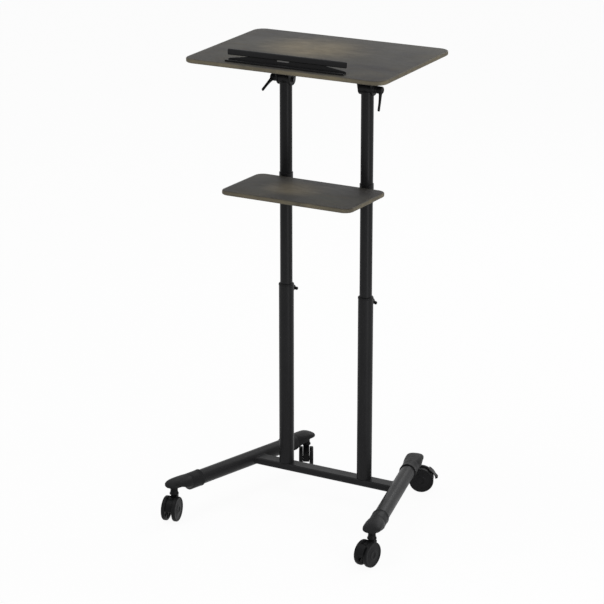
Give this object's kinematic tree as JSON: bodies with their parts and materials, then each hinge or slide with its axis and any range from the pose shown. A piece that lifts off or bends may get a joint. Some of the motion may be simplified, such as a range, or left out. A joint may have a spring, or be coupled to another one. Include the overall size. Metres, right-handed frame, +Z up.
{
  "type": "mobile standing desk",
  "caption": "Mobile standing desk: twin telescoping posts on splayed legs with twin-wheel casters, a tilting top with a stop ledge and a lower shelf.",
  "frame": {"origin": "On the floor, at the middle of the whole desk's footprint seen from above.", "axes": "+Z up, +Y away from the user towards the rear casters, +X to the user's right. The crossbar and the tilt axis run along X."},
  "size_m": [0.6764, 0.6222, 1.3323],
  "materials": {
    "black_powder_coat": "satin black powder coat on steel",
    "printed_board": "fibreboard with a satin stone-like print, rounded edges",
    "black_plastic": "matt moulded black plastic",
    "handle_plastic": "fine-grained black plastic",
    "caster_nylon": "moulded black nylon",
    "wheel_nylon": "moulded black nylon wheel",
    "zinc_steel": "bright zinc plate",
    "plain_steel": "plain drawn steel",
    "black_screw": "black zinc screws"
  },
  "bodies": {
    "base": {"crossbar": "black_powder_coat", "leg_left": "black_powder_coat", "leg_right": "black_powder_coat", "front_cap_left": "black_plastic", "front_cap_right": "black_plastic", "rear_cap_left": "black_plastic", "rear_cap_right": "black_plastic", "stem_front_left": "zinc_steel", "stem_front_right": "zinc_steel", "stem_rear_left": "zinc_steel", "stem_rear_right": "zinc_steel", "lower_post_left": "black_powder_coat", "lower_post_right": "black_powder_coat", "post_plug_left": "plain_steel", "post_plug_right": "plain_steel", "post_bolts": "zinc_steel", "post_coupling_left": "plain_steel", "post_coupling_right": "plain_steel", "outer_sleeve_left": "black_powder_coat", "outer_sleeve_right": "black_powder_coat", "sleeve_bushing_left": "black_plastic", "sleeve_bushing_right": "black_plastic"},
    "column": {"inner_tube_left": "black_powder_coat", "inner_tube_right": "black_powder_coat", "tube_head_left": "black_powder_coat", "tube_head_right": "black_powder_coat", "shelf": "printed_board", "shelf_bracket_left": "black_powder_coat", "shelf_bracket_right": "black_powder_coat", "shelf_screws": "black_screw", "ring_screws": "black_screw"},
    "top": {"tabletop": "printed_board", "stop_ledge": "black_powder_coat", "ledge_screws": "black_screw", "tilt_bracket_left": "black_powder_coat", "tilt_bracket_right": "black_powder_coat", "bracket_screws": "black_screw", "clamp_bolts": "zinc_steel"},
    "lever_left": {"tilt_lever_left": "handle_plastic"},
    "lever_right": {"tilt_lever_right": "handle_plastic"},
    "knob_left": {"lock_knob_left": "handle_plastic"},
    "knob_right": {"lock_knob_right": "handle_plastic"},
    "swivel_front_left": {"housing_front_left": "caster_nylon", "axle_front_left": "zinc_steel"},
    "wheel_front_left_a": {"wheel_front_left_a": "wheel_nylon"},
    "wheel_front_left_b": {"wheel_front_left_b": "wheel_nylon"},
    "swivel_front_right": {"housing_front_right": "caster_nylon", "axle_front_right": "zinc_steel"},
    "wheel_front_right_a": {"wheel_front_right_a": "wheel_nylon"},
    "wheel_front_right_b": {"wheel_front_right_b": "wheel_nylon"},
    "pedal_front": {"brake_pedal_front": "caster_nylon"},
    "swivel_rear_left": {"housing_rear_left": "caster_nylon", "axle_rear_left": "zinc_steel"},
    "wheel_rear_left_a": {"wheel_rear_left_a": "wheel_nylon"},
    "wheel_rear_left_b": {"wheel_rear_left_b": "wheel_nylon"},
    "swivel_rear_right": {"housing_rear_right": "caster_nylon", "axle_rear_right": "zinc_steel"},
    "wheel_rear_right_a": {"wheel_rear_right_a": "wheel_nylon"},
    "wheel_rear_right_b": {"wheel_rear_right_b": "wheel_nylon"},
    "pedal_rear": {"brake_pedal_rear": "caster_nylon"}
  },
  "joints": [
    {"name": "height_slide", "type": "slide", "parent": "base", "child": "column", "axis": [0, 0, 1], "range_m": [-0.25, 0.03]},
    {"name": "top_tilt", "type": "hinge", "parent": "column", "child": "top", "pos_m": [0, 0.062, 1.216], "axis": [1, 0, 0], "range_deg": [-1.9, 38]},
    {"name": "lever_left_turn", "type": "hinge", "parent": "top", "child": "lever_left", "pos_m": [-0.16, 0.062, 1.216], "axis": [1, 0, 0], "range_deg": [-20, 60]},
    {"name": "lever_right_turn", "type": "hinge", "parent": "top", "child": "lever_right", "pos_m": [0.16, 0.062, 1.216], "axis": [1, 0, 0], "range_deg": [-50, 30]},
    {"name": "knob_left_turn", "type": "hinge", "parent": "base", "child": "knob_left", "pos_m": [-0.1255, 0.092, 0.612], "axis": [0, 1, 0], "range_deg": [-180, 180]},
    {"name": "knob_right_turn", "type": "hinge", "parent": "base", "child": "knob_right", "pos_m": [0.1255, 0.092, 0.612], "axis": [0, 1, 0], "range_deg": [-180, 180]},
    {"name": "swivel_front_left_turn", "type": "hinge", "parent": "base", "child": "swivel_front_left", "pos_m": [-0.31264, -0.24287, 0.08], "axis": [0, 0, 1], "continuous": true},
    {"name": "wheel_front_left_a_roll", "type": "hinge", "parent": "swivel_front_left", "child": "wheel_front_left_a", "pos_m": [-0.30848, -0.26243, 0.035], "axis": [0.9781, 0.2079, 0], "continuous": true},
    {"name": "wheel_front_left_b_roll", "type": "hinge", "parent": "swivel_front_left", "child": "wheel_front_left_b", "pos_m": [-0.30848, -0.26243, 0.035], "axis": [0.9781, 0.2079, 0], "continuous": true},
    {"name": "swivel_front_right_turn", "type": "hinge", "parent": "base", "child": "swivel_front_right", "pos_m": [0.31264, -0.24287, 0.08], "axis": [0, 0, 1], "continuous": true},
    {"name": "wheel_front_right_a_roll", "type": "hinge", "parent": "swivel_front_right", "child": "wheel_front_right_a", "pos_m": [0.30986, -0.26267, 0.035], "axis": [0.9903, -0.1392, 0], "continuous": true},
    {"name": "wheel_front_right_b_roll", "type": "hinge", "parent": "swivel_front_right", "child": "wheel_front_right_b", "pos_m": [0.30986, -0.26267, 0.035], "axis": [0.9903, -0.1392, 0], "continuous": true},
    {"name": "pedal_front_press", "type": "hinge", "parent": "swivel_front_right", "child": "pedal_front", "pos_m": [0.30757, -0.27897, 0.05775], "axis": [0.9903, -0.1392, 0], "range_deg": [0, 12]},
    {"name": "swivel_rear_left_turn", "type": "hinge", "parent": "base", "child": "swivel_rear_left", "pos_m": [-0.17931, 0.27009, 0.08], "axis": [0, 0, 1], "continuous": true},
    {"name": "wheel_rear_left_a_roll", "type": "hinge", "parent": "swivel_rear_left", "child": "wheel_rear_left_a", "pos_m": [-0.16962, 0.25259, 0.035], "axis": [0.8746, 0.4848, 0], "continuous": true},
    {"name": "wheel_rear_left_b_roll", "type": "hinge", "parent": "swivel_rear_left", "child": "wheel_rear_left_b", "pos_m": [-0.16962, 0.25259, 0.035], "axis": [0.8746, 0.4848, 0], "continuous": true},
    {"name": "swivel_rear_right_turn", "type": "hinge", "parent": "base", "child": "swivel_rear_right", "pos_m": [0.17931, 0.27009, 0.08], "axis": [0, 0, 1], "continuous": true},
    {"name": "wheel_rear_right_a_roll", "type": "hinge", "parent": "swivel_rear_right", "child": "wheel_rear_right_a", "pos_m": [0.19744, 0.27854, 0.035], "axis": [-0.4226, 0.9063, 0], "continuous": true},
    {"name": "wheel_rear_right_b_roll", "type": "hinge", "parent": "swivel_rear_right", "child": "wheel_rear_right_b", "pos_m": [0.19744, 0.27854, 0.035], "axis": [-0.4226, 0.9063, 0], "continuous": true},
    {"name": "pedal_rear_press", "type": "hinge", "parent": "swivel_rear_right", "child": "pedal_rear", "pos_m": [0.21235, 0.28549, 0.05775], "axis": [-0.4226, 0.9063, 0], "range_deg": [0, 12]}
  ]
}
